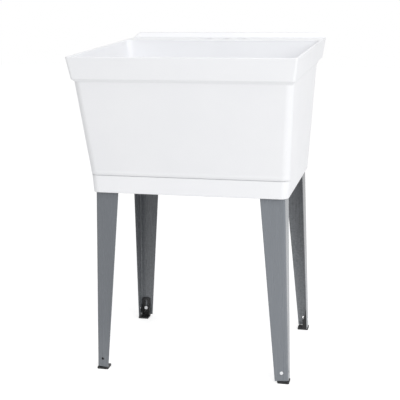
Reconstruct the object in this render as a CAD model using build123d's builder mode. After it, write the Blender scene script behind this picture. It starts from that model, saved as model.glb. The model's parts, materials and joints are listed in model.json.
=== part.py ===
"""Utility laundry sink: a moulded tub on four tapered steel legs with slotted levelling shoes."""

from build123d import *
import math
import os

os.makedirs("parts", exist_ok=True)

# Millimetres. The origin is on the floor, under the middle of the rim: +X right, -Y front, +Z up.

# ---------------------------------------------------------------- tub sizes
RIM_WIDTH = 581
RIM_DEPTH = 597
RIM_HEIGHT = 854
RIM_RADIUS = 6
BAND_HEIGHT = 56
BAND_FLARE = 8.5
BAND_RADIUS = 7
BAND_THICKNESS = 8
BAND_SLOPE = 8
WALL = 4
WALL_RADIUS = 20
SIDE_STEP = 11.5
SIDE_DRAFT = 21.3
FRONT_STEP = 12.5
FRONT_SETBACK = 66
DECK_DEPTH = 105
REAR_DRAFT = 19
SKIRT_HEIGHT = 45.5
CREASE_HEIGHT = 541
CREASE_CURL = 14
CREASE_BULGE = 1
CREASE_STEP = 2
CURL_SECTIONS = 4
BASIN_CORNER = 8
LIP_RISE = 14
LIP_END_SLOPE = 17
LIP_FOOT_DEPTH = 21
LIP_TOP_DEPTH = 10.5
DECK_THICKNESS = 4
DECK_WALL = 5
FAUCET_HOLE_RADIUS = 16
FAUCET_HOLE_SPACING = 50.8
FAUCET_HOLE_COUNT = 3
FAUCET_SETBACK = 62.5
FLOOR_FALL = 9
FLOOR_FLAT = 70
FLOOR_RIB = 3
FLOOR_RIB_DEPTH = 14
FLOOR_RIB_SPACING = 150
FLOOR_RIB_REACH = 130
RIM_EDGE = 1.5

# ---------------------------------------------------------------- leg sizes
STEEL = 1.5
BEND_RADIUS = 5
LEG_INSET = 8
LEG_SPLAY_X = 12.5
LEG_SPLAY_Y = 13
WIDE_FLANGE_TOP = 66.5
WIDE_FLANGE_FOOT = 35.5
NARROW_FLANGE_TOP = 64
NARROW_FLANGE_FOOT = 29.5
LEG_FOOT_HEIGHT = 8.4
LEG_FOOT_FALL = 1.6
FOOT_HOLE_HEIGHT = 30
FOOT_HOLE_PLAY = 0.75
NARROW_HOLE_OFFSET = 14.5
SEAT_GAP = 0.3

# ---------------------------------------------------------------- leg socket and fixing screw sizes
SOCKET_RIB = 3
SOCKET_RIB_START = 12
SOCKET_RIB_END = 50
SOCKET_RIB_LIFT = 4
SOCKET_PAD_PLACES = (14, 46)
FIXING_PLACE = 30
FIXING_DROP = 22
FIXING_SHANK_RADIUS = 2.4
FIXING_TIP = -6
FIXING_HEAD_FLATS = 8
FIXING_HEAD_HEIGHT = 3
FIXING_BOSS = 11
FIXING_CLEARANCE = 0.3
THREAD_FIT = 0.05

# ---------------------------------------------------------------- leveller sizes
SHOE_HEIGHT = 62
SHOE_WIDTH = 25
SHOE_PLATE = 3
SHOE_WEB = 2.5
SHOE_WEB_DEPTH = 12
SHOE_WEB_HEIGHT = 44
SHOE_TOP_RADIUS = 6
SHOE_PAD_THICKNESS = 4.6
SHOE_PAD_OVERHANG = 1.5
SHOE_PAD_SIZE = 31
SHOE_PAD_RADIUS = 3
SLOT_PLAY = 0.5
SLOT_LOW_SPARE = 0.6
SLOT_TRAVEL = 22
BOLT_RADIUS = 3
BOLT_LENGTH = 13
BOLT_HEAD_RADIUS = 4.6
BOLT_HEAD_HEIGHT = 2.6
NUT_FLATS = 10
NUT_HEIGHT = 5

# ---------------------------------------------------------------- drain sizes
DRAIN_Y = -28
DRAIN_SEAT_HALF = 56
DRAIN_SEAT_STRAIGHT = 12
DRAIN_FLANGE_RADIUS = 38
DRAIN_FLANGE = 3
DRAIN_FLANGE_BEVEL = 1
DRAIN_TAIL_RADIUS = 23
DRAIN_BORE_RADIUS = 20
DRAIN_TAIL_LENGTH = 66
DRAIN_FIT = 0.4
STRAINER_DROP = 22
STRAINER_BAR_WIDTH = 2.4
STRAINER_BAR_HEIGHT = 4
STRAINER_HUB_RADIUS = 5
STRAINER_BARS = 3
GASKET_RADIUS = 33
GASKET_THICKNESS = 3
FRICTION_WASHER_THICKNESS = 1
LOCKNUT_RADIUS = 30
LOCKNUT_HEIGHT = 9
LOCKNUT_LUGS = 6
LOCKNUT_LUG_WIDTH = 8
LOCKNUT_LUG_REACH = 33.5
SLIP_NUT_RADIUS = 28
SLIP_NUT_HEIGHT = 20
SLIP_NUT_LIP = 3
SLIP_NUT_RIBS = 12
SLIP_NUT_RIB_WIDTH = 3
SLIP_NUT_RIB_REACH = 30
TUBE_RADIUS = 19.05
TUBE_CLEARANCE = 0.3
SLIP_WASHER_HEIGHT = 4

# ---------------------------------------------------------------- stopper sizes
STOPPER_RADIUS = 27
STOPPER_DISC = 4
STOPPER_SPIGOT_RADIUS = 16
STOPPER_SPIGOT_DEPTH = 7
STOPPER_KNOB_RADIUS = 8
STOPPER_NECK_RADIUS = 5
STOPPER_KNOB_HEIGHT = 18
STOPPER_KNOB_CROWN = 6
STOPPER_BEVEL = 1.5
SEAL_THICKNESS = 2.5
SEAL_INSET = 1
SEAL_FIT = 0.05

# ---------------------------------------------------------------- places and levels worked out
half_rim = RIM_WIDTH / 2
half_deep = RIM_DEPTH / 2
side_top = half_rim - SIDE_STEP
side_bottom = side_top - SIDE_DRAFT
front_top = FRONT_STEP - half_deep
skirt_front = FRONT_SETBACK - half_deep
rear_top = half_deep - DECK_DEPTH
rear_bottom = rear_top - REAR_DRAFT
band_bottom = RIM_HEIGHT - BAND_HEIGHT
skirt_bottom = CREASE_HEIGHT - SKIRT_HEIGHT
floor_under = CREASE_HEIGHT
floor_top = floor_under + WALL
drain_seat = floor_top - FLOOR_FALL
slope_foot = band_bottom - BAND_SLOPE
curl_top = CREASE_HEIGHT + CREASE_CURL
side_taper = SIDE_DRAFT / (band_bottom - skirt_bottom)
rear_taper = REAR_DRAFT / (band_bottom - skirt_bottom)
front_slope = (skirt_front - front_top) / (band_bottom - CREASE_HEIGHT)


def half_width(height):
    """Half of the outer wall's width at a height."""
    return side_bottom + side_taper * (height - skirt_bottom)


def rear_wall(height):
    """Outer face of the rear wall at a height."""
    return rear_bottom + rear_taper * (height - skirt_bottom)


def front_wall(height):
    """Outer face of the sloping front wall at a height."""
    return front_top + front_slope * (band_bottom - height)


def outline(height, half_x, front_y, rear_y, radius):
    """Rounded rectangle at a height, as one section of a loft."""
    with BuildSketch(Plane.XY.offset(height)) as section:
        with Locations((0, (front_y + rear_y) / 2)):
            RectangleRounded(2 * half_x, rear_y - front_y, radius)
    return section.sketch


def wall_outline(height, front_y, inset=0):
    """Section of the tapered wall, moved in by inset on all four sides."""
    return outline(
        height,
        half_width(height) - inset,
        front_y + inset,
        rear_wall(height) - inset,
        max(WALL_RADIUS - inset, WALL_RADIUS / 2),
    )


def floor_sections(height):
    """Two sections of the shallow fall from the flat edge of the floor to the drain's seat."""
    edge = wall_outline(height, front_wall(floor_top), FLOOR_FLAT)
    low = outline(
        height - FLOOR_FALL,
        DRAIN_SEAT_HALF,
        DRAIN_Y - DRAIN_SEAT_HALF,
        DRAIN_Y + DRAIN_SEAT_HALF,
        DRAIN_SEAT_HALF - DRAIN_SEAT_STRAIGHT / 2,
    )
    return [low, edge]


# ---------------------------------------------------------------- leg frames
# Each leg has its own frame on the floor: z runs up its bend, x along the narrow flange,
# y along the wide flange. The four frames turn by 90 degrees from corner to corner.
def leg_frame(side_x, side_y, narrow_direction):
    """Plane at the floor under a leg's bend, leaning in towards the tub."""
    skirt_y = -skirt_front if side_y < 0 else rear_bottom
    head = Vector(side_x * (side_bottom - LEG_INSET), side_y * (skirt_y - LEG_INSET), skirt_bottom)
    foot = Vector(head.X + side_x * LEG_SPLAY_X, head.Y + side_y * LEG_SPLAY_Y, 0)
    up = (head - foot).normalized()
    along = Vector(*narrow_direction)
    return Plane(origin=foot, x_dir=(along - up * along.dot(up)).normalized(), z_dir=up)


leg_frames = {
    "front_left": leg_frame(-1, -1, (1, 0, 0)),
    "front_right": leg_frame(1, -1, (0, 1, 0)),
    "rear_right": leg_frame(1, 1, (-1, 0, 0)),
    "rear_left": leg_frame(-1, 1, (0, -1, 0)),
}
leg_places = [frame.location for frame in leg_frames.values()]
leg_top = floor_under - SEAT_GAP
inner_face = STEEL + SEAT_GAP
socket_foot = skirt_bottom + SOCKET_RIB_LIFT
socket_top = floor_top - WALL / 2
socket_height = socket_top - socket_foot
pad_reach = 2 * LEG_INSET
fixing_height = CREASE_HEIGHT - FIXING_DROP
foot_hole_radius = BOLT_RADIUS + FOOT_HOLE_PLAY
wide_hole_offset = BEND_RADIUS + SHOE_WIDTH / 2
PAD_OUTWARD = (Align.CENTER, Align.MAX, Align.MIN)
PAD_SIDEWAYS = (Align.MAX, Align.CENTER, Align.MIN)
BOSS_OUTWARD = (Align.CENTER, Align.MAX, Align.CENTER)
CORNER = (Align.MIN, Align.MIN, Align.MIN)
FROM_BASE = (Align.CENTER, Align.CENTER, Align.MIN)
FROM_FRONT = (Align.CENTER, Align.MIN)


# ---------------------------------------------------------------- tub sections
half_crest = half_rim - RIM_EDGE
rim_edge_foot = RIM_HEIGHT - RIM_EDGE
basin_rear = rear_wall(RIM_HEIGHT) - WALL
skirt_sections = [wall_outline(height, skirt_front) for height in (skirt_bottom, CREASE_HEIGHT)]
skirt_hollow_sections = [
    wall_outline(height, skirt_front, WALL) for height in (skirt_bottom, floor_under)
]
socket_limit_sections = [
    wall_outline(height, skirt_front, WALL / 2) for height in (skirt_bottom, socket_top)
]
curl_front = front_wall(curl_top) - CREASE_BULGE
crease_front = skirt_front + CREASE_STEP
curl_angles = [math.pi / 2 * step / CURL_SECTIONS for step in range(CURL_SECTIONS + 1)]
wall_sections = [
    wall_outline(
        CREASE_HEIGHT + CREASE_CURL * (1 - math.cos(angle)),
        crease_front + (curl_front - crease_front) * math.sin(angle),
    )
    for angle in curl_angles
] + [wall_outline(band_bottom, front_top)]
band_sections = [
    wall_outline(slope_foot, front_wall(slope_foot), SEAT_GAP),
    outline(
        band_bottom, half_rim - BAND_FLARE, BAND_FLARE - half_deep, half_deep - BAND_FLARE, BAND_RADIUS
    ),
    outline(rim_edge_foot, half_rim, -half_deep, half_deep, RIM_RADIUS),
    outline(RIM_HEIGHT, half_crest, RIM_EDGE - half_deep, half_deep, RIM_RADIUS - RIM_EDGE),
]
lip_sections = [
    outline(RIM_HEIGHT, half_crest, half_deep - LIP_FOOT_DEPTH, half_deep, RIM_RADIUS - RIM_EDGE),
    outline(
        RIM_HEIGHT + LIP_RISE,
        half_rim - LIP_END_SLOPE,
        half_deep - LIP_TOP_DEPTH,
        half_deep,
        LIP_TOP_DEPTH / 2 - SEAT_GAP,
    ),
]
basin_sections = [
    wall_outline(floor_top, front_wall(floor_top), WALL),
    wall_outline(band_bottom, front_top, WALL),
    outline(
        rim_edge_foot,
        half_rim - BAND_THICKNESS,
        BAND_THICKNESS - half_deep,
        basin_rear,
        WALL_RADIUS - WALL,
    ),
    outline(
        RIM_HEIGHT,
        half_rim - BAND_THICKNESS + RIM_EDGE,
        BAND_THICKNESS - half_deep - RIM_EDGE,
        basin_rear + RIM_EDGE,
        WALL_RADIUS - WALL + RIM_EDGE,
    ),
]

# ---------------------------------------------------------------- leg sockets in the skirt's corners
with BuildPart() as sockets:
    # Ribs inside each flange, pads outside it and the fixing screw's boss.
    with Locations(*leg_places):
        for place in SOCKET_PAD_PLACES:
            with Locations((place, -SEAT_GAP, socket_foot)):
                Box(SOCKET_RIB, pad_reach, socket_height, align=PAD_OUTWARD)
            with Locations((-SEAT_GAP, place, socket_foot)):
                Box(pad_reach, SOCKET_RIB, socket_height, align=PAD_SIDEWAYS)
        for start, end in (
            (SOCKET_RIB_START, FIXING_PLACE - FIXING_BOSS / 2),
            (FIXING_PLACE + FIXING_BOSS / 2, SOCKET_RIB_END),
        ):
            with Locations((start, inner_face, socket_foot)):
                Box(end - start, SOCKET_RIB, socket_height, align=CORNER)
        with Locations((inner_face, SOCKET_RIB_START, socket_foot)):
            Box(SOCKET_RIB, SOCKET_RIB_END - SOCKET_RIB_START, socket_height, align=CORNER)
        with Locations((FIXING_PLACE, -SEAT_GAP, fixing_height)):
            Box(FIXING_BOSS, pad_reach, FIXING_BOSS, align=BOSS_OUTWARD)
    # Pads and bosses end inside the skirt's wall.
    loft(socket_limit_sections, ruled=True, mode=Mode.INTERSECT)

# ---------------------------------------------------------------- tub
with BuildPart() as tub:
    # Skirt, basin wall with its curled-in front bottom edge, flared band and rear lip.
    loft(skirt_sections, ruled=True)
    loft(wall_sections, ruled=True)
    loft(band_sections, ruled=True)
    loft(lip_sections, ruled=True)
    # Basin hollow, eased where its walls meet the floor.
    loft(basin_sections, ruled=True, mode=Mode.SUBTRACT)
    basin_floor = tub.faces().filter_by(Plane.XY).filter_by_position(Axis.Z, floor_top, floor_top)
    chamfer(basin_floor.edges(), BASIN_CORNER)
    # Hollow under the basin floor.
    loft(skirt_hollow_sections, ruled=True, mode=Mode.SUBTRACT)
    # Floor that falls to the drain, with stiffening ribs under it, clear of the drain.
    loft(floor_sections(floor_under), ruled=True)
    with BuildSketch(Plane.XY.offset(floor_top - WALL / 2)):
        with Locations((0, DRAIN_Y)):
            with GridLocations(FLOOR_RIB_SPACING, 0, 2, 1):
                Rectangle(FLOOR_RIB, 2 * FLOOR_RIB_REACH)
            with GridLocations(0, FLOOR_RIB_SPACING, 1, 2):
                Rectangle(2 * FLOOR_RIB_REACH, FLOOR_RIB)
    extrude(amount=-FLOOR_RIB_DEPTH - FLOOR_FALL)
    loft(floor_sections(floor_top), ruled=True, mode=Mode.SUBTRACT)
    # Behind the rear wall the band ends level, round the pocket under the faucet deck.
    with BuildSketch(Plane.XY.offset(slope_foot)):
        with Locations((0, rear_top)):
            Rectangle(RIM_WIDTH, DECK_DEPTH, align=FROM_FRONT)
    extrude(amount=BAND_SLOPE, mode=Mode.SUBTRACT)
    pocket_depth = DECK_DEPTH - BAND_FLARE - DECK_WALL
    with BuildSketch(Plane.XY.offset(band_bottom)):
        with Locations((0, rear_top)):
            Rectangle(2 * (half_rim - BAND_FLARE - DECK_WALL), pocket_depth, align=FROM_FRONT)
    extrude(amount=BAND_HEIGHT - DECK_THICKNESS, mode=Mode.SUBTRACT)
    # Row of faucet holes through the deck.
    with BuildSketch(Plane.XY.offset(RIM_HEIGHT)):
        with Locations((0, half_deep - FAUCET_SETBACK)):
            with GridLocations(FAUCET_HOLE_SPACING, 0, FAUCET_HOLE_COUNT, 1):
                Circle(FAUCET_HOLE_RADIUS)
    extrude(amount=-DECK_THICKNESS, mode=Mode.SUBTRACT)
    # Drain: the recess that takes the flange, and the hole for its tail.
    with BuildSketch(Plane.XY.offset(drain_seat)):
        with Locations((0, DRAIN_Y)):
            Circle(DRAIN_FLANGE_RADIUS + DRAIN_FIT)
    extrude(amount=-DRAIN_FLANGE, mode=Mode.SUBTRACT)
    with BuildSketch(Plane.XY.offset(drain_seat - WALL)):
        with Locations((0, DRAIN_Y)):
            Circle(DRAIN_FLANGE_RADIUS + WALL)
    extrude(amount=-DRAIN_FLANGE)
    with BuildSketch(Plane.XY.offset(drain_seat)):
        with Locations((0, DRAIN_Y)):
            Circle(DRAIN_TAIL_RADIUS + DRAIN_FIT)
    extrude(amount=-WALL - DRAIN_FLANGE, mode=Mode.SUBTRACT)
    # Leg sockets, each with the blind hole of its fixing screw.
    add(sockets.part)
    with Locations(*leg_places):
        with Locations((FIXING_PLACE, -SEAT_GAP, fixing_height)):
            Cylinder(
                FIXING_SHANK_RADIUS + THREAD_FIT,
                FIXING_CLEARANCE - FIXING_TIP,
                rotation=(90, 0, 0),
                align=FROM_BASE,
                mode=Mode.SUBTRACT,
            )

# ---------------------------------------------------------------- leg stamping, in its own frame
leg_length = leg_top / leg_frames["front_left"].z_dir.Z
# The foot's edges slope down from the bend, along both flanges.
foot_along_narrow = Vector(NARROW_FLANGE_FOOT, 0, -LEG_FOOT_FALL)
foot_along_wide = Vector(0, WIDE_FLANGE_FOOT, -LEG_FOOT_FALL)
foot_cut = Plane(
    origin=(0, 0, LEG_FOOT_HEIGHT),
    x_dir=foot_along_narrow,
    z_dir=foot_along_narrow.cross(foot_along_wide),
)
with BuildPart() as leg_stamping:
    with BuildSketch():
        with BuildLine():
            Polyline((0, WIDE_FLANGE_TOP), (0, 0), (NARROW_FLANGE_TOP, 0))
            bend_corner = vertices().sort_by_distance((0, 0, 0))[0]
            fillet(bend_corner, BEND_RADIUS)
            offset(amount=STEEL, side=Side.LEFT)
        make_face()
    extrude(amount=leg_length)
    split(bisect_by=foot_cut, keep=Keep.TOP)
    # Each flange narrows to the foot.
    for plane, foot_width, head_width, depth in (
        (Plane.XZ, NARROW_FLANGE_FOOT, NARROW_FLANGE_TOP, -WIDE_FLANGE_TOP),
        (Plane.YZ, WIDE_FLANGE_FOOT, WIDE_FLANGE_TOP, NARROW_FLANGE_TOP),
    ):
        with BuildSketch(plane):
            with BuildLine():
                Polyline((0, 0), (foot_width, 0), (head_width, leg_length), (0, leg_length), close=True)
            make_face()
        extrude(amount=depth, mode=Mode.INTERSECT)
    # Foot hole in both flanges, fixing hole in the narrow one.
    with BuildSketch(Plane.XZ):
        with Locations((NARROW_HOLE_OFFSET, FOOT_HOLE_HEIGHT)):
            Circle(foot_hole_radius)
        with Locations((FIXING_PLACE, fixing_height)):
            Circle(FIXING_SHANK_RADIUS + FIXING_CLEARANCE)
    extrude(amount=-STEEL, mode=Mode.SUBTRACT)
    with BuildSketch(Plane.YZ):
        with Locations((wide_hole_offset, FOOT_HOLE_HEIGHT)):
            Circle(foot_hole_radius)
    extrude(amount=STEEL, mode=Mode.SUBTRACT)

# ---------------------------------------------------------------- levelling shoe, in its leg's frame
shoe_start = wide_hole_offset - SHOE_WIDTH / 2
pad_middle = SHOE_PAD_SIZE / 2 - SHOE_PAD_OVERHANG
slot_low = FOOT_HOLE_HEIGHT - SLOT_LOW_SPARE
slot_high = slot_low + SLOT_TRAVEL
with BuildPart() as shoe:
    # Slotted plate against the wide flange.
    with BuildSketch(Plane.YZ.offset(inner_face)):
        with Locations((wide_hole_offset, 0)):
            Rectangle(SHOE_WIDTH, SHOE_HEIGHT, align=(Align.CENTER, Align.MIN))
    extrude(amount=SHOE_PLATE)
    top_edges = shoe.edges().filter_by(Axis.X).group_by(Axis.Z)[-1]
    fillet(top_edges, SHOE_TOP_RADIUS)
    # Two webs that make it a channel, lower than the plate and sloped at the top.
    for web_start in (shoe_start, shoe_start + SHOE_WIDTH - SHOE_WEB):
        with BuildSketch(Plane.XZ.offset(-web_start)):
            with BuildLine():
                Polyline(
                    (inner_face, 0),
                    (inner_face + SHOE_WEB_DEPTH, 0),
                    (inner_face + SHOE_WEB_DEPTH, SHOE_WEB_HEIGHT - SHOE_WEB_DEPTH),
                    (inner_face, SHOE_WEB_HEIGHT),
                    close=True,
                )
            make_face()
        extrude(amount=-SHOE_WEB)
    with BuildSketch(Plane.YZ.offset(inner_face)):
        with Locations((wide_hole_offset, (slot_low + slot_high) / 2)):
            SlotCenterToCenter(SLOT_TRAVEL, 2 * (BOLT_RADIUS + SLOT_PLAY), rotation=90)
    extrude(amount=SHOE_PLATE, mode=Mode.SUBTRACT)

# ---------------------------------------------------------------- leveller screw and nut, in a leg's frame
with BuildPart() as leveller_screw:
    with BuildSketch(Plane.YZ):
        with Locations((wide_hole_offset, FOOT_HOLE_HEIGHT)):
            Circle(BOLT_RADIUS)
    extrude(amount=BOLT_LENGTH)
    with BuildSketch(Plane.YZ):
        with Locations((wide_hole_offset, FOOT_HOLE_HEIGHT)):
            Circle(BOLT_HEAD_RADIUS)
    extrude(amount=-BOLT_HEAD_HEIGHT)

nut_face = inner_face + SHOE_PLATE + SEAT_GAP
with BuildPart() as leveller_nut:
    with BuildSketch(Plane.YZ.offset(nut_face)):
        with Locations((wide_hole_offset, FOOT_HOLE_HEIGHT)):
            RegularPolygon(NUT_FLATS / 2, 6, major_radius=False)
            Circle(BOLT_RADIUS + THREAD_FIT, mode=Mode.SUBTRACT)
    extrude(amount=NUT_HEIGHT)

# ---------------------------------------------------------------- leg fixing screw, in a leg's frame
with BuildPart() as fixing_screw:
    with BuildSketch(Plane.XZ.offset(-STEEL)):
        with Locations((FIXING_PLACE, fixing_height)):
            Circle(FIXING_SHANK_RADIUS)
    extrude(amount=STEEL - FIXING_TIP)
    with BuildSketch(Plane.XZ.offset(-STEEL)):
        with Locations((FIXING_PLACE, fixing_height)):
            RegularPolygon(FIXING_HEAD_FLATS / 2, 6, major_radius=False)
    extrude(amount=-FIXING_HEAD_HEIGHT)

# ---------------------------------------------------------------- legs and shoes in their places
leg_parts = {}
for corner, frame in leg_frames.items():
    with BuildPart() as leg:
        with Locations(frame.location):
            add(leg_stamping.part)
    leg_parts[f"leg_{corner}"] = leg.part
    with BuildPart() as leveller:
        with Locations(frame.location):
            add(shoe.part)
        # The channel stands on a level pad that closes its end.
        split(bisect_by=Plane.XY.offset(SHOE_PAD_THICKNESS / 2), keep=Keep.TOP)
        pad_x = (frame.x_dir.X, frame.x_dir.Y, 0)
        with BuildSketch(Plane(origin=(frame.origin.X, frame.origin.Y, 0), x_dir=pad_x)):
            with Locations((pad_middle, pad_middle)):
                RectangleRounded(SHOE_PAD_SIZE, SHOE_PAD_SIZE, SHOE_PAD_RADIUS)
        extrude(amount=SHOE_PAD_THICKNESS)
    leg_parts[f"leveller_{corner}"] = leveller.part

fastener_groups = {}
for name, single in (
    ("leveller_screws", leveller_screw),
    ("leveller_nuts", leveller_nut),
    ("leg_fixing_screws", fixing_screw),
):
    with BuildPart() as group:
        with Locations(*leg_places):
            add(single.part)
    fastener_groups[name] = group.part

# ---------------------------------------------------------------- drain levels
seat_top = drain_seat
seat_face = seat_top - DRAIN_FLANGE
tail_end = seat_top - DRAIN_TAIL_LENGTH
bar_top = seat_top - STRAINER_DROP
gasket_top = seat_face - WALL
friction_top = gasket_top - GASKET_THICKNESS
locknut_top = friction_top - FRICTION_WASHER_THICKNESS
thread_radius = DRAIN_TAIL_RADIUS + THREAD_FIT
drain_axis = Axis((0, DRAIN_Y, 0), (0, 0, 1))

# ---------------------------------------------------------------- drain body with its strainer cross
with BuildPart() as drain_body:
    with BuildSketch(Plane.XY.offset(seat_face)):
        with Locations((0, DRAIN_Y)):
            Circle(DRAIN_FLANGE_RADIUS)
    extrude(amount=DRAIN_FLANGE)
    chamfer(drain_body.edges().group_by(Axis.Z)[-1], DRAIN_FLANGE_BEVEL)
    with BuildSketch(Plane.XY.offset(tail_end)):
        with Locations((0, DRAIN_Y)):
            Circle(DRAIN_TAIL_RADIUS)
    extrude(amount=DRAIN_TAIL_LENGTH - DRAIN_FLANGE)
    with BuildSketch(Plane.XY.offset(tail_end)):
        with Locations((0, DRAIN_Y)):
            Circle(DRAIN_BORE_RADIUS)
    extrude(amount=DRAIN_TAIL_LENGTH, mode=Mode.SUBTRACT)
    with BuildSketch(Plane.XY.offset(bar_top)):
        with Locations((0, DRAIN_Y)):
            with PolarLocations(0, STRAINER_BARS, angular_range=180):
                Rectangle(2 * DRAIN_BORE_RADIUS + STRAINER_BAR_WIDTH, STRAINER_BAR_WIDTH)
            Circle(STRAINER_HUB_RADIUS)
    extrude(amount=-STRAINER_BAR_HEIGHT)

# ---------------------------------------------------------------- gasket, friction washer and locknut
with BuildPart() as drain_gasket:
    with BuildSketch(Plane.XY.offset(gasket_top)):
        with Locations((0, DRAIN_Y)):
            Circle(GASKET_RADIUS)
            Circle(thread_radius, mode=Mode.SUBTRACT)
    extrude(amount=-GASKET_THICKNESS)

with BuildPart() as drain_friction_washer:
    with BuildSketch(Plane.XY.offset(friction_top)):
        with Locations((0, DRAIN_Y)):
            Circle(GASKET_RADIUS)
            Circle(thread_radius, mode=Mode.SUBTRACT)
    extrude(amount=-FRICTION_WASHER_THICKNESS)

with BuildPart() as drain_locknut:
    with BuildSketch(Plane.XY.offset(locknut_top)):
        with Locations((0, DRAIN_Y)):
            Circle(LOCKNUT_RADIUS)
            with PolarLocations(LOCKNUT_LUG_REACH / 2, LOCKNUT_LUGS):
                Rectangle(LOCKNUT_LUG_REACH, LOCKNUT_LUG_WIDTH)
            Circle(thread_radius, mode=Mode.SUBTRACT)
    extrude(amount=-LOCKNUT_HEIGHT)

# ---------------------------------------------------------------- slip nut and washer on the tail's end
slip_lip_face = tail_end - SLIP_WASHER_HEIGHT
with BuildPart() as slip_nut:
    with BuildSketch(Plane.XY.offset(slip_lip_face - SLIP_NUT_LIP)):
        with Locations((0, DRAIN_Y)):
            Circle(SLIP_NUT_RADIUS)
            with PolarLocations(SLIP_NUT_RIB_REACH / 2, SLIP_NUT_RIBS):
                Rectangle(SLIP_NUT_RIB_REACH, SLIP_NUT_RIB_WIDTH)
            Circle(TUBE_RADIUS + TUBE_CLEARANCE, mode=Mode.SUBTRACT)
    extrude(amount=SLIP_NUT_HEIGHT)
    with BuildSketch(Plane.XY.offset(slip_lip_face)):
        with Locations((0, DRAIN_Y)):
            Circle(thread_radius)
    extrude(amount=SLIP_NUT_HEIGHT, mode=Mode.SUBTRACT)

with BuildPart() as slip_washer:
    with BuildSketch(Plane.XY.offset(slip_lip_face)):
        with Locations((0, DRAIN_Y)):
            Circle(DRAIN_TAIL_RADIUS)
            Circle(TUBE_RADIUS + TUBE_CLEARANCE, mode=Mode.SUBTRACT)
    extrude(amount=SLIP_WASHER_HEIGHT)

# ---------------------------------------------------------------- stopper and its seal
seal_face = seat_top + SEAT_GAP
disc_face = seal_face + SEAL_THICKNESS
disc_top = disc_face + STOPPER_DISC
with BuildPart() as drain_stopper:
    with BuildSketch(Plane.XY.offset(disc_face)):
        with Locations((0, DRAIN_Y)):
            Circle(STOPPER_RADIUS)
    extrude(amount=STOPPER_DISC)
    chamfer(drain_stopper.edges().group_by(Axis.Z)[-1], STOPPER_BEVEL)
    with BuildSketch(Plane.XY.offset(disc_face)):
        with Locations((0, DRAIN_Y)):
            Circle(STOPPER_SPIGOT_RADIUS)
    extrude(amount=-STOPPER_SPIGOT_DEPTH)
    with BuildSketch(Plane.XY.offset(disc_top)):
        with Locations((0, DRAIN_Y)):
            Circle(STOPPER_NECK_RADIUS)
    extrude(amount=STOPPER_KNOB_HEIGHT)
    with BuildSketch(Plane.XY.offset(disc_top + STOPPER_KNOB_HEIGHT)):
        with Locations((0, DRAIN_Y)):
            Circle(STOPPER_KNOB_RADIUS)
    extrude(amount=-STOPPER_KNOB_CROWN)
    chamfer(drain_stopper.edges().group_by(Axis.Z)[-1], STOPPER_BEVEL)

with BuildPart() as stopper_seal:
    with BuildSketch(Plane.XY.offset(seal_face)):
        with Locations((0, DRAIN_Y)):
            Circle(STOPPER_RADIUS - SEAL_INSET)
            Circle(STOPPER_SPIGOT_RADIUS + SEAL_FIT, mode=Mode.SUBTRACT)
    extrude(amount=SEAL_THICKNESS)

# ---------------------------------------------------------------- export, one file for each node
pieces = {
    "tub": tub.part,
    **leg_parts,
    **fastener_groups,
    "drain_body": drain_body.part,
    "drain_gasket": drain_gasket.part,
    "drain_friction_washer": drain_friction_washer.part,
    "drain_locknut": drain_locknut.part,
    "slip_nut": slip_nut.part,
    "slip_washer": slip_washer.part,
    "drain_stopper": drain_stopper.part,
    "stopper_seal": stopper_seal.part,
}
for name, piece in pieces.items():
    piece.label = name
    export_step(piece, f"parts/{name}.step")
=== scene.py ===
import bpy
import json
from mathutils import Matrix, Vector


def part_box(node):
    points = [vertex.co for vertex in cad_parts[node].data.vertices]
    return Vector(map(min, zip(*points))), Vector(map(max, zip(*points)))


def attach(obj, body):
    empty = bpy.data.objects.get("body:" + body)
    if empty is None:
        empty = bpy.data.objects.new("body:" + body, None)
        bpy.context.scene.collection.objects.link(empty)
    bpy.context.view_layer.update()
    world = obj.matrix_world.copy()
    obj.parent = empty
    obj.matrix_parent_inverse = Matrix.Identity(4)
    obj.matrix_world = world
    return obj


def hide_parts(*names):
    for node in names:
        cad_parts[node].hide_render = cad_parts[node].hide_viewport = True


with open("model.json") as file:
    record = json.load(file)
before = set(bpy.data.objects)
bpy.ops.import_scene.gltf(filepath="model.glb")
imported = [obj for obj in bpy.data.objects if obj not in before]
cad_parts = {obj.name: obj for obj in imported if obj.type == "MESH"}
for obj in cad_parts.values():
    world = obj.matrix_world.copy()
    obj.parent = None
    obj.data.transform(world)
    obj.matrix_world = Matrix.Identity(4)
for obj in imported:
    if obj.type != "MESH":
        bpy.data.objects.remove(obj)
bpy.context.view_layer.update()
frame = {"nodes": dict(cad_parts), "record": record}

import json
import math

import bmesh
import bpy
from mathutils import Matrix, Vector

# A utility laundry sink: white moulded tub, grey enamelled legs and black levelling shoes.
# Lengths are in metres, angles in degrees and colours linear.

nodes = frame["nodes"]
scene = bpy.context.scene
UPWARDS = Vector((0.0, 0.0, 1.0))

# ---------------------------------------------------------------- camera
CAMERA_PLACE = Vector((0.6041, -2.5935, 1.0941))
CAMERA_YAW = 13.63
CAMERA_PITCH = 14.055
CAMERA_ROLL = -1.02
CAMERA_LENS = 88.3
CAMERA_SENSOR = 36.0
CAMERA_SHIFT_X = 0.0007

# ---------------------------------------------------------------- light
# Each lamp's place, size and power.
LAMPS = {
    "key": ((2.6, -2.4, 2.6), 2.2, 63.0),
    "high": ((0.2, -1.2, 3.6), 1.6, 21.0),
}
LIGHT_AIM = Vector((0.0, 0.0, 0.6))
# The world's strength for light that falls on the object, and where it is seen directly.
WORLD_LEVEL = 0.60
SEEN_LEVEL = 1.0
WHITE = (1.0, 1.0, 1.0)

# The floor's greys for light that it bounces, and where it is seen directly, with a glow added there.
FLOOR_HALF = 7.0
FLOOR_BOUNCE = 0.92
FLOOR_TONE = 0.60
FLOOR_GLOW = 0.64

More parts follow.
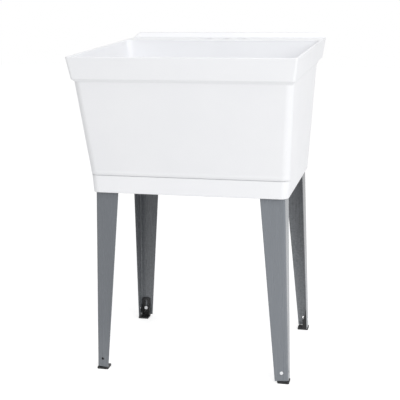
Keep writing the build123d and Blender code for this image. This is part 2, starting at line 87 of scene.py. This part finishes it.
# ---------------------------------------------------------------- fasteners and threads
# The level direction in which each leg's narrow flange runs from its bend, for the fasteners there.
NARROW_WAYS = {
    "front_left": (1.0, 0.0, 0.0),
    "front_right": (0.0, 1.0, 0.0),
    "rear_right": (-1.0, 0.0, 0.0),
    "rear_left": (0.0, -1.0, 0.0),
}
# Points round each ring, rings to each turn of a thread, the part of a turn before a thread starts, and
# the angle from which an edge is sharp.
RING_STEPS = 48
THREAD_ROWS = 8
THREAD_LEAD = 0.25
SHARP_ANGLE = 35.0

# Pan-head screws.
SHANK_RADIUS = 0.003
THREAD_DEPTH = 0.0004
THREAD_PITCH = 0.001
PAN_RADIUS = 0.0046
PAN_HEIGHT = 0.0026
PAN_ROUND = 0.0016
PAN_STEPS = 6
RECESS_REACH = 0.0021
RECESS_WIDTH = 0.0005
RECESS_DEPTH = 0.0014
RECESS_TAPER = 0.7

# Nuts, and the steps in which the corners of all hexagons are eased.
NUT_FLATS = 0.010
NUT_SINK = 0.0004
EASE_STEPS = 3

# Hex-head screws that hold the legs.
HEX_FLATS = 0.008
HEX_HEIGHT = 0.003
HEX_HOLLOW_DEPTH = 0.0006
HEX_HOLLOW_RADIUS = 0.0028
HEX_HOLLOW_TAPER = 0.8
FIXING_RADIUS = 0.0024
FIXING_TIP_TAPER = 0.6

# Thread on the drain's tail.
TAIL_CREST = 0.02335
TAIL_DEPTH = 0.0004
TAIL_PITCH = 0.003

# ---------------------------------------------------------------- colours
TUB_WHITE = (0.905, 0.911, 0.930)
TUB_SHADE = (0.885, 0.892, 0.914)
# Colour of the painted shade in the tub's creases.
TUB_CREASE_SHADE = (0.62, 0.63, 0.66)
LEG_GREY = (0.214, 0.231, 0.256)
LEG_SHADE = (0.199, 0.216, 0.239)
LEG_WORN = (0.36, 0.37, 0.38)
# Lighter colour near the legs' feet: partly dust, partly painted light from the floor.
LEG_DUST_AND_FLOOR_LIGHT = (0.385, 0.405, 0.43)
SHOE_BLACK = (0.016, 0.016, 0.017)
SHOE_SCUFF = (0.050, 0.050, 0.053)
ZINC_BRIGHT = (0.88, 0.89, 0.90)
ZINC_DULL = (0.74, 0.75, 0.77)
FITTING_WHITE = (0.80, 0.80, 0.80)
FITTING_SHADE = (0.74, 0.74, 0.74)
STOPPER_WHITE = (0.82, 0.82, 0.83)
SEAL_CLEAR = (0.70, 0.72, 0.74)
FIBRE_BROWN = (0.30, 0.15, 0.08)
RUBBER_BLACK = (0.022, 0.022, 0.023)

# Each leg's tone, which is painted shade, the height up to which dust and painted floor light lie on it,
# and their share at its foot.
LEG_LOOKS = {
    "front_left": (0.73, 0.13, 0.15),
    "front_right": (0.96, 0.16, 0.05),
    "rear_left": (0.30, 0.55, 0.37),
    "rear_right": (0.33, 0.60, 0.71),
}
LEG_WEAR = 0.2
LEG_STREAK = 18.0
SHOE_WEAR = 0.6

# ---------------------------------------------------------------- how every surface is finished
# The Mix node's sockets for two colours, and for the colour that it gives.
MIX_COLOURS = (6, 7)
MIX_RESULT = 2
# A span holds the values that give none and all of an effect, and a spread is a share either way.
# Gloss, and the dust with painted floor light, have finer patches than colour: theirs are smaller by the
# shrink.
NOISE_SPAN = (0.3, 0.7)
PATCH_DETAIL = 3.0
FINE_DETAIL = 4.0
GRAIN_DETAIL = 2.0
GLOSS_SPREAD = 0.15
GLOSS_SHRINK = 2
WEAR_SPAN = (0.98, 0.75)
DUST_AND_LIGHT_SPREAD = 0.3
DUST_AND_LIGHT_SHRINK = 4
# Painted shade in creases: the occlusion values that give none and all of it, how far it looks for closure,
# and its largest share.
CREASE_SHADE_SPAN = (1.0, 0.4)
CREASE_SHADE_REACH = 0.006
CREASE_SHADE_SHARE = 0.42


# ---------------------------------------------------------------- material nodes
def scaled(colour, shade_tone):
    """Colour made lighter or darker."""
    return tuple(shade_tone * part for part in colour)


def remap(tree, value, first, last, low, high):
    """Value remapped so that first gives low and last gives high."""
    spread = tree.nodes.new("ShaderNodeMapRange")
    spread.inputs["From Min"].default_value = first
    spread.inputs["From Max"].default_value = last
    spread.inputs["To Min"].default_value = low
    spread.inputs["To Max"].default_value = high
    tree.links.new(value, spread.inputs["Value"])
    return spread.outputs["Result"]


def link_noise(tree, coordinates, size, detail, low, high):
    """Noise with features of a size in metres, remapped to run from low to high."""
    noise = tree.nodes.new("ShaderNodeTexNoise")
    noise.inputs["Scale"].default_value = 1.0 / size
    noise.inputs["Detail"].default_value = detail
    tree.links.new(coordinates, noise.inputs["Vector"])
    return remap(tree, noise.outputs["Fac"], *NOISE_SPAN, low, high)


def mix_colour(tree, factor, first, second):
    """Colour mixed from two, each a colour or the output of another node."""
    mix = tree.nodes.new("ShaderNodeMix")
    mix.data_type = "RGBA"
    tree.links.new(factor, mix.inputs["Factor"])
    for socket, value in zip(MIX_COLOURS, (first, second)):
        if isinstance(value, tuple):
            mix.inputs[socket].default_value = (*value, 1.0)
        else:
            tree.links.new(value, mix.inputs[socket])
    return mix.outputs[MIX_RESULT]


def drawn_out(tree, coordinates, streak):
    """Coordinates in which a pattern is drawn out upright."""
    mapping = tree.nodes.new("ShaderNodeMapping")
    mapping.inputs["Scale"].default_value = (1.0, 1.0, 1.0 / streak)
    tree.links.new(coordinates, mapping.inputs["Vector"])
    return mapping.outputs["Vector"]


def eased_normal(tree, edge):
    """Surface direction with the edges eased."""
    easing = tree.nodes.new("ShaderNodeBevel")
    easing.inputs["Radius"].default_value = edge
    return easing.outputs["Normal"]


def worn_edges(tree, base, normal, colour, share):
    """Base worn to another colour where the eased direction turns away from the face's own."""
    geometry = tree.nodes.new("ShaderNodeNewGeometry")
    turn = tree.nodes.new("ShaderNodeVectorMath")
    turn.operation = "DOT_PRODUCT"
    tree.links.new(normal, turn.inputs[0])
    tree.links.new(geometry.outputs["Normal"], turn.inputs[1])
    wear = remap(tree, turn.outputs["Value"], *WEAR_SPAN, 0.0, share)
    return mix_colour(tree, wear, base, colour)


def low_dust_and_floor_light(tree, base, coordinates, patch_size, colour, height, share):
    """Base lightened by uneven dust and painted light from the floor, thinning out from the floor up to a
    height.
    """
    place = tree.nodes.new("ShaderNodeSeparateXYZ")
    tree.links.new(coordinates, place.inputs["Vector"])
    low = remap(tree, place.outputs["Z"], height, 0.0, 0.0, share)
    size = patch_size / DUST_AND_LIGHT_SHRINK
    cloud = link_noise(tree, coordinates, size, FINE_DETAIL, 1.0 - DUST_AND_LIGHT_SPREAD, 1.0 + DUST_AND_LIGHT_SPREAD)
    uneven = tree.nodes.new("ShaderNodeMath")
    uneven.operation = "MULTIPLY"
    tree.links.new(low, uneven.inputs[0])
    tree.links.new(cloud, uneven.inputs[1])
    return mix_colour(tree, uneven.outputs["Value"], base, colour)


def creased_grime(tree, base, normal, colour):
    """Base darkened with painted shade where the surface is closed in, such as in a crease."""
    hollow = tree.nodes.new("ShaderNodeAmbientOcclusion")
    hollow.inputs["Distance"].default_value = CREASE_SHADE_REACH
    tree.links.new(normal, hollow.inputs["Normal"])
    closed = remap(tree, hollow.outputs["AO"], *CREASE_SHADE_SPAN, 0.0, CREASE_SHADE_SHARE)
    return mix_colour(tree, closed, base, colour)


def grained_normal(tree, coordinates, normal, depth, size):
    """Surface direction with a fine grain in relief."""
    relief = link_noise(tree, coordinates, size, GRAIN_DETAIL, 0.0, 1.0)
    bump = tree.nodes.new("ShaderNodeBump")
    bump.inputs["Distance"].default_value = depth
    tree.links.new(relief, bump.inputs["Height"])
    tree.links.new(normal, bump.inputs["Normal"])
    return bump.outputs["Normal"]


def finish(
    name,
    colours,
    roughness,
    grain,
    grain_size,
    patch_size,
    edge,
    metallic=0.0,
    streak=1.0,
    wear=None,
    dust_and_floor_light=None,
    grime=None,
):
    """Surface with patches of two colours, uneven gloss, grain and eased edges.

    Wear is a colour and a share, dust with painted floor light is a colour, a height and a share, and
    painted shade in creases is a colour.
    """
    material = bpy.data.materials.new(name)
    material.use_nodes = True
    tree = material.node_tree
    shader = tree.nodes["Principled BSDF"]
    coordinates = tree.nodes.new("ShaderNodeTexCoord").outputs["Object"]
    drawn = drawn_out(tree, coordinates, streak)
    normal = eased_normal(tree, edge)
    patches = link_noise(tree, drawn, patch_size, PATCH_DETAIL, 0.0, 1.0)
    base = mix_colour(tree, patches, *colours)
    if wear is not None:
        base = worn_edges(tree, base, normal, *wear)
    # Dust with painted floor light, lighter toward the foot.
    if dust_and_floor_light is not None:
        base = low_dust_and_floor_light(tree, base, coordinates, patch_size, *dust_and_floor_light)
    # Painted shade in creases.
    if grime is not None:
        base = creased_grime(tree, base, normal, grime)
    smooth = roughness * (1.0 - GLOSS_SPREAD)
    rough = roughness * (1.0 + GLOSS_SPREAD)
    gloss = link_noise(tree, drawn, patch_size / GLOSS_SHRINK, FINE_DETAIL, smooth, rough)
    grained = grained_normal(tree, coordinates, normal, grain, grain_size)
    tree.links.new(base, shader.inputs["Base Color"])
    tree.links.new(gloss, shader.inputs["Roughness"])
    tree.links.new(grained, shader.inputs["Normal"])
    shader.inputs["Metallic"].default_value = metallic
    return material


# ---------------------------------------------------------------- materials, by the record's slots
slot_materials = {}


def slot_material(slot, colours, **surface):
    """Material for one slot of the record."""
    slot_materials[slot] = finish(slot, colours, **surface)


slot_material(
    "tub_plastic",
    (TUB_WHITE, TUB_SHADE),
    roughness=0.6,
    grain=0.00003,
    grain_size=0.0012,
    patch_size=0.16,
    edge=0.0025,
    # Painted shade in the tub's creases.
    grime=TUB_CREASE_SHADE,
)
slot_material(
    "shoe_plastic",
    (SHOE_BLACK, SHOE_BLACK),
    roughness=0.5,
    grain=0.00005,
    grain_size=0.0008,
    patch_size=0.06,
    edge=0.0012,
    wear=(SHOE_SCUFF, SHOE_WEAR),
)
slot_material(
    "zinc",
    (ZINC_BRIGHT, ZINC_DULL),
    roughness=0.3,
    grain=0.00002,
    grain_size=0.0004,
    patch_size=0.004,
    edge=0.0004,
    metallic=1.0,
)
slot_material(
    "fitting_plastic",
    (FITTING_WHITE, FITTING_SHADE),
    roughness=0.45,
    grain=0.00003,
    grain_size=0.001,
    patch_size=0.02,
    edge=0.0008,
)
slot_material(
    "stopper_plastic",
    (STOPPER_WHITE, FITTING_WHITE),
    roughness=0.35,
    grain=0.00002,
    grain_size=0.001,
    patch_size=0.02,
    edge=0.001,
)
slot_material(
    "seal_plastic",
    (SEAL_CLEAR, FITTING_SHADE),
    roughness=0.4,
    grain=0.00002,
    grain_size=0.001,
    patch_size=0.01,
    edge=0.0015,
)
slot_material(
    "fibre",
    (FIBRE_BROWN, SHOE_SCUFF),
    roughness=0.8,
    grain=0.00005,
    grain_size=0.0006,
    patch_size=0.004,
    edge=0.0003,
)
slot_material(
    "rubber",
    (RUBBER_BLACK, SHOE_BLACK),
    roughness=0.65,
    grain=0.00004,
    grain_size=0.0006,
    patch_size=0.01,
    edge=0.0005,
)


def leg_paint(corner):
    """Grey enamel of one leg, toned with painted shade, with upright streaks, worn edges, and dust with
    painted floor light.
    """
    shade_tone, dust_and_light_height, dust_and_light_share = LEG_LOOKS[corner]
    return finish(
        f"leg_paint_{corner}",
        # The leg's greys scaled by its tone: painted shade and light.
        (scaled(LEG_GREY, shade_tone), scaled(LEG_SHADE, shade_tone)),
        roughness=0.28,
        grain=0.000015,
        grain_size=0.0012,
        patch_size=0.02,
        edge=0.0012,
        streak=LEG_STREAK,
        wear=(LEG_WORN, LEG_WEAR),
        # Dust with painted floor light toward the foot.
        dust_and_floor_light=(LEG_DUST_AND_FLOOR_LIGHT, dust_and_light_height, dust_and_light_share),
    )


def paint_nodes():
    """Each CAD node gets its slot's material, and each leg its own paint, toned with painted shade."""
    node_materials = {f"leg_{corner}": leg_paint(corner) for corner in LEG_LOOKS}
    for part in frame["record"]["subparts"]:
        if part["node"] not in node_materials:
            node_materials[part["node"]] = slot_materials[part["material_slot"]]
    for name, node in nodes.items():
        node.data.materials.clear()
        node.data.materials.append(node_materials[name])


# ---------------------------------------------------------------- rings of points, joined to a skin
def add_rings(bm, rings, start, along, across, aside, loop=False):
    """Closed skin over rings round an axis; each ring is a radius, or a function of angle, and a height."""
    rows = []
    for radius, height in rings:
        row = []
        for step in range(RING_STEPS):
            angle = 2 * math.pi * step / RING_STEPS
            reach = radius(angle) if callable(radius) else radius
            way = math.cos(angle) * across + math.sin(angle) * aside
            row.append(bm.verts.new(start + height * along + reach * way))
        rows.append(row)
    pairs = list(zip(rows, rows[1:]))
    if loop:
        pairs.append((rows[-1], rows[0]))
    for lower, upper in pairs:
        for step in range(RING_STEPS):
            after = (step + 1) % RING_STEPS
            bm.faces.new((lower[step], lower[after], upper[after], upper[step]))
    if not loop:
        bm.faces.new(list(reversed(rows[0])))
        bm.faces.new(rows[-1])


def thread_rings(crest, depth, pitch, low, high):
    """Rings of a screw thread that fades out at both ends."""
    count = round((high - low) / pitch * THREAD_ROWS)
    rings = []
    for row in range(count + 1):
        height = low + (high - low) * row / count
        fade = min(1.0, (height - low) / pitch, (high - height) / pitch)

        def radius(angle, height=height, fade=fade):
            turn = (height / pitch - angle / (2 * math.pi)) % 1.0
            return crest - depth + depth * fade * (1.0 - abs(2.0 * turn - 1.0))

        rings.append((radius, height))
    return rings


def hexagon(flats, most):
    """Radius of a hexagon by angle, cut back to a circle of the radius most."""

    def radius(angle):
        return min(flats / 2 / math.cos(angle % (math.pi / 3) - math.pi / 6), most)

    return radius


def hexagon_rings(flats, low, high):
    """Rings of a hexagonal prism whose upper corners are turned to a cone."""
    side = flats / 2
    corner = side / math.cos(math.pi / 6)
    rings = [(hexagon(flats, corner), low)]
    for step in range(EASE_STEPS + 1):
        most = corner + (side - corner) * step / EASE_STEPS
        rings.append((hexagon(flats, most), high - (most - side) * math.tan(math.pi / 6)))
    return rings


def cross_recess(reach, width):
    """Radius of a cross-shaped recess by angle."""

    def radius(angle):
        turn = abs((angle + math.pi / 4) % (math.pi / 2) - math.pi / 4)
        return min(reach / math.cos(turn), width / max(math.sin(turn), width / reach))

    return radius


# ---------------------------------------------------------------- where the fasteners sit
def leg_axes(corner):
    """Directions along a leg's narrow flange, along its wide flange and up its bend."""
    joints = frame["record"]["behaviour"]["joints"]
    slide = next(joint for joint in joints if joint["name"] == f"{corner}_foot_slide")
    up = -Vector(slide["axis"]).normalized()
    narrow = Vector(NARROW_WAYS[corner])
    narrow = (narrow - up * narrow.dot(up)).normalized()
    return narrow, up.cross(narrow), up


def corner_points(node, corner):
    """Points of a node that belong to one corner of the sink."""
    side_x = 1.0 if "right" in corner else -1.0
    side_y = 1.0 if "rear" in corner else -1.0
    points = (vertex.co for vertex in nodes[node].data.vertices)
    return [point for point in points if point.x * side_x > 0.0 and point.y * side_y > 0.0]


def axis_start(points, along, across, aside):
    """Point on a fastener's axis at its lowest end, and its length along the axis."""
    reach = [[point.dot(way) for point in points] for way in (along, across, aside)]
    low = min(reach[0])
    middles = [(min(values) + max(values)) / 2 for values in reach[1:]]
    return low * along + middles[0] * across + middles[1] * aside, max(reach[0]) - low


# ---------------------------------------------------------------- fasteners and the drain's thread
def pan_screw(bm, points, narrow, wide, up):
    """Pan-head screw through a leg and its shoe, with a threaded shank and a cross recess."""
    ways = (-narrow, up, wide)
    start, length = axis_start(points, *ways)
    seat = length - PAN_HEIGHT
    lead = THREAD_LEAD * THREAD_PITCH
    rings = [(SHANK_RADIUS - THREAD_DEPTH, 0.0)]
    rings += thread_rings(SHANK_RADIUS, THREAD_DEPTH, THREAD_PITCH, lead, seat - PAN_HEIGHT)
    rings += [(SHANK_RADIUS, seat - PAN_HEIGHT / 2), (SHANK_RADIUS, seat), (PAN_RADIUS, seat)]
    for step in range(PAN_STEPS + 1):
        turn = math.pi / 2 * step / PAN_STEPS
        swell = PAN_ROUND * (1.0 - math.cos(turn))
        rings.append((PAN_RADIUS - swell, length - PAN_ROUND * (1.0 - math.sin(turn))))
    rings.append((cross_recess(RECESS_REACH, RECESS_WIDTH), length))
    bottom = cross_recess(RECESS_REACH * RECESS_TAPER, RECESS_WIDTH * RECESS_TAPER)
    rings.append((bottom, length - RECESS_DEPTH))
    add_rings(bm, rings, start, *ways)


def hex_nut(bm, points, narrow, wide, up):
    """Hexagonal nut inside a shoe, with eased corners and a countersunk bore."""
    ways = (narrow, wide, up)
    start, length = axis_start(points, *ways)
    rings = [(SHANK_RADIUS, NUT_SINK), (SHANK_RADIUS + NUT_SINK, 0.0)]
    rings += hexagon_rings(NUT_FLATS, 0.0, length)
    rings += [(SHANK_RADIUS + NUT_SINK, length), (SHANK_RADIUS, length - NUT_SINK)]
    add_rings(bm, rings, start, *ways, loop=True)


def hex_screw(bm, points, narrow, wide, up):
    """Screw that holds a leg in its socket, with a tapered tip and a hollow in its hexagonal head."""
    ways = (wide, narrow, -up)
    start, length = axis_start(points, *ways)
    seat = length - HEX_HEIGHT
    rings = [(FIXING_RADIUS * FIXING_TIP_TAPER, 0.0), (FIXING_RADIUS, FIXING_RADIUS)]
    rings.append((FIXING_RADIUS, seat))
    rings += hexagon_rings(HEX_FLATS, seat, length)
    rings.append((HEX_HOLLOW_RADIUS, length))
    rings.append((HEX_HOLLOW_RADIUS * HEX_HOLLOW_TAPER, length - HEX_HOLLOW_DEPTH))
    add_rings(bm, rings, start, *ways)


def finished_piece(name, bm, slot, *replaced):
    """Piece made from a mesh, which rides on the sink and may stand for CAD nodes."""
    mesh = bpy.data.meshes.new(name)
    bm.to_mesh(mesh)
    bm.free()
    for face in mesh.polygons:
        face.use_smooth = True
    mesh.set_sharp_from_angle(angle=math.radians(SHARP_ANGLE))
    mesh.materials.append(slot_materials[slot])
    piece = bpy.data.objects.new(name, mesh)
    scene.collection.objects.link(piece)
    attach(piece, "sink")
    if replaced:
        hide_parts(*replaced)


def fastener_group(name, shape, node):
    """One fastener of a shape at each leg, in place of a CAD node's plain ones."""
    bm = bmesh.new()
    for corner in NARROW_WAYS:
        shape(bm, corner_points(node, corner), *leg_axes(corner))
    finished_piece(name, bm, "zinc", node)


def drain_tail_thread():
    """Coarse thread on the drain's tail between its two nuts."""
    low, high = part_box("drain_body")
    start = Vector(((low.x + high.x) / 2, (low.y + high.y) / 2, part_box("slip_nut")[1].z))
    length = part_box("drain_locknut")[0].z - start.z
    lead = THREAD_LEAD * TAIL_PITCH
    core = TAIL_CREST - 2 * TAIL_DEPTH
    rings = [(core, 0.0)]
    rings += thread_rings(TAIL_CREST, TAIL_DEPTH, TAIL_PITCH, lead, length - lead)
    rings.append((core, length))
    bm = bmesh.new()
    ways = (UPWARDS, Vector((1.0, 0.0, 0.0)), Vector((0.0, 1.0, 0.0)))
    add_rings(bm, rings, start, *ways, loop=True)
    finished_piece("drain_tail_thread", bm, "fitting_plastic")


# ---------------------------------------------------------------- floor, world and lamps
def seen_directly(tree):
    """1 for rays from the camera, or through gloss or glass, and 0 for light that falls on the object."""
    path = tree.nodes.new("ShaderNodeLightPath")
    most = path.outputs["Is Camera Ray"]
    for output in ("Is Glossy Ray", "Is Transmission Ray"):
        larger = tree.nodes.new("ShaderNodeMath")
        larger.operation = "MAXIMUM"
        tree.links.new(most, larger.inputs[0])
        tree.links.new(path.outputs[output], larger.inputs[1])
        most = larger.outputs["Value"]
    return most


def mix_by_ray(tree, plain, shown, output):
    """Surface or background that is plain for falling light and shown where it is seen directly."""
    mix = tree.nodes.new("ShaderNodeMixShader")
    tree.links.new(seen_directly(tree), mix.inputs["Fac"])
    tree.links.new(plain, mix.inputs[1])
    tree.links.new(shown, mix.inputs[2])
    tree.links.new(mix.outputs["Shader"], tree.nodes[output].inputs["Surface"])


def grey_diffuse(tree, level):
    """Matt surface of one level of grey."""
    diffuse = tree.nodes.new("ShaderNodeBsdfDiffuse")
    diffuse.inputs["Color"].default_value = (level, level, level, 1.0)
    return diffuse.outputs["BSDF"]


def floor_material():
    """Pale floor that looks white in the light and keeps the object's shadow."""
    material = bpy.data.materials.new("studio_floor")
    material.use_nodes = True
    tree = material.node_tree
    tree.nodes.remove(tree.nodes["Principled BSDF"])
    glow = tree.nodes.new("ShaderNodeEmission")
    glow.inputs["Strength"].default_value = FLOOR_GLOW
    both = tree.nodes.new("ShaderNodeAddShader")
    tree.links.new(grey_diffuse(tree, FLOOR_TONE), both.inputs[0])
    tree.links.new(glow.outputs["Emission"], both.inputs[1])
    mix_by_ray(tree, grey_diffuse(tree, FLOOR_BOUNCE), both.outputs["Shader"], "Material Output")
    return material


def studio_floor():
    """Square floor under the object, which is stage and not a piece of it."""
    mesh = bpy.data.meshes.new("studio_floor")
    ways = ((-1, -1), (1, -1), (1, 1), (-1, 1))
    corners = [(x * FLOOR_HALF, y * FLOOR_HALF, 0.0) for x, y in ways]
    mesh.from_pydata(corners, [], [(0, 1, 2, 3)])
    mesh.materials.append(floor_material())
    floor = bpy.data.objects.new("studio_floor", mesh)
    scene.collection.objects.link(floor)


def white_background(background, level):
    """White of a strength from a background node."""
    background.inputs["Color"].default_value = (*WHITE, 1.0)
    background.inputs["Strength"].default_value = level
    return background.outputs["Background"]


def studio_world():
    """Even light from all round, in front of a white background."""
    world = bpy.data.worlds.new("studio")
    world.use_nodes = True
    tree = world.node_tree
    plain = white_background(tree.nodes["Background"], WORLD_LEVEL)
    shown = white_background(tree.nodes.new("ShaderNodeBackground"), SEEN_LEVEL)
    mix_by_ray(tree, plain, shown, "World Output")
    scene.world = world


def lamp(name, place, size, power):
    """Soft square lamp that faces the object."""
    data = bpy.data.lights.new(name, "AREA")
    data.size = size
    data.energy = power
    light = bpy.data.objects.new(name, data)
    light.location = place
    light.rotation_euler = (LIGHT_AIM - place).to_track_quat("-Z", "Y").to_euler()
    scene.collection.objects.link(light)


# ---------------------------------------------------------------- camera
def studio_camera():
    """Camera at the photograph's viewing angle."""
    yaw = math.radians(CAMERA_YAW)
    pitch = math.radians(CAMERA_PITCH)
    roll = math.radians(CAMERA_ROLL)
    level = math.cos(pitch)
    ahead = Vector((-math.sin(yaw) * level, math.cos(yaw) * level, -math.sin(pitch)))
    level_right = ahead.cross(UPWARDS).normalized()
    level_up = level_right.cross(ahead)
    right = math.cos(roll) * level_right + math.sin(roll) * level_up
    up = -math.sin(roll) * level_right + math.cos(roll) * level_up
    data = bpy.data.cameras.new("camera")
    data.lens = CAMERA_LENS
    data.sensor_width = CAMERA_SENSOR
    data.shift_x = CAMERA_SHIFT_X
    viewer = bpy.data.objects.new("camera", data)
    turned = Matrix((right, up, -ahead)).transposed().to_4x4()
    viewer.matrix_world = Matrix.Translation(CAMERA_PLACE) @ turned
    scene.collection.objects.link(viewer)
    scene.camera = viewer


paint_nodes()
fastener_group("leveller_pan_screws", pan_screw, "leveller_screws")
fastener_group("leveller_hex_nuts", hex_nut, "leveller_nuts")
fastener_group("leg_hex_screws", hex_screw, "leg_fixing_screws")
drain_tail_thread()
studio_floor()
studio_world()
for lamp_name, (lamp_place, lamp_size, lamp_power) in LAMPS.items():
    lamp(lamp_name, Vector(lamp_place), lamp_size, lamp_power)
studio_camera()
scene.view_settings.view_transform = "Standard"
